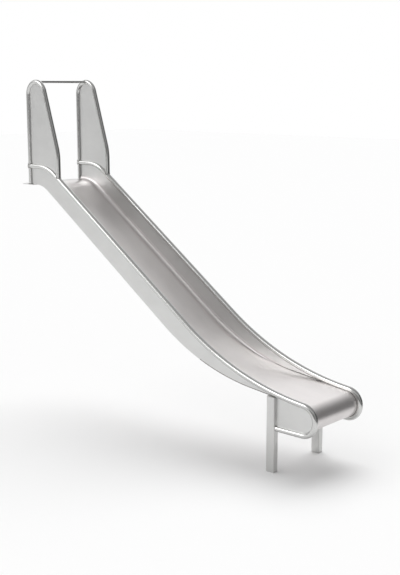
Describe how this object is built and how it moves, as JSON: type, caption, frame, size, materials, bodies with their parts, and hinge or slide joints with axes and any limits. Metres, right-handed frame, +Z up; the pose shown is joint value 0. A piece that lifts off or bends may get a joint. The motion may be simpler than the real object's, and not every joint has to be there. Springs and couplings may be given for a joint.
{
  "type": "playground slide",
  "caption": "Straight open slide of welded stainless sheet and tube, with rounded side shields and a guard bar at the platform, and posts under the run-out.",
  "frame": {"origin": "middle of the line of bolt holes on the underside of the platform plate, where the slide bolts down", "axes": "+X runs level from the platform towards the exit, +Y to the left of a rider looking down the slide, +Z up"},
  "size_m": [3.1061, 0.6, 2.7649],
  "materials": {
    "bed_steel": "satin, grain along the slide",
    "sheet_steel": "satin, glass-bead dull",
    "tube_steel": "fine brushed, brighter than the sheets",
    "frame_steel": "brushed"
  },
  "bodies": {
    "root": {"bed": "bed_steel", "bed_ribs": "frame_steel", "cross_beam": "frame_steel", "platform_plate": "frame_steel", "guard_bar": "tube_steel", "left_cheek": "sheet_steel", "right_cheek": "sheet_steel", "left_end_panel": "sheet_steel", "right_end_panel": "sheet_steel", "left_rim": "tube_steel", "right_rim": "tube_steel", "left_rim_cap": "tube_steel", "right_rim_cap": "tube_steel", "left_ear_frame": "tube_steel", "right_ear_frame": "tube_steel", "left_ear_panel": "sheet_steel", "right_ear_panel": "sheet_steel", "left_ear_stub": "tube_steel", "right_ear_stub": "tube_steel", "left_post": "frame_steel", "right_post": "frame_steel", "left_post_cap": "frame_steel", "right_post_cap": "frame_steel", "left_post_foot": "frame_steel", "right_post_foot": "frame_steel"}
  },
  "joints": []
}
